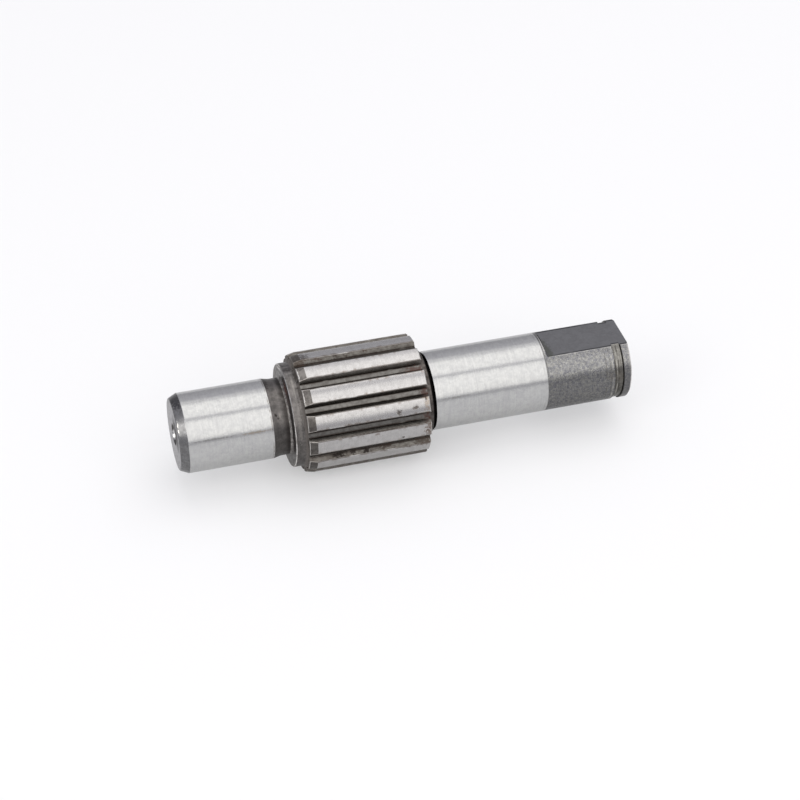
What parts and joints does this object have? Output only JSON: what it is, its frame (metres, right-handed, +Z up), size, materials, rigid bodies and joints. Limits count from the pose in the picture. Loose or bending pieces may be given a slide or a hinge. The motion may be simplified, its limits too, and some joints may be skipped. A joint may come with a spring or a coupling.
{
  "type": "drive shaft",
  "caption": "One-piece steel drive shaft with ground journals, a splined middle between collars, and a dark driven end with flats and a ring groove.",
  "frame": {"origin": "on the shaft's axis, in the plane of its left end face", "axes": "+X along the shaft towards the driven end, +Z up, square to the flats and through a tooth gap, with the shaft lying on two teeth"},
  "size_m": [0.0693, 0.0182, 0.018],
  "materials": {
    "shaft_steel": "ground journals and lands, turned elsewhere"
  },
  "bodies": {
    "root": {"drive_shaft": "shaft_steel"}
  },
  "joints": []
}
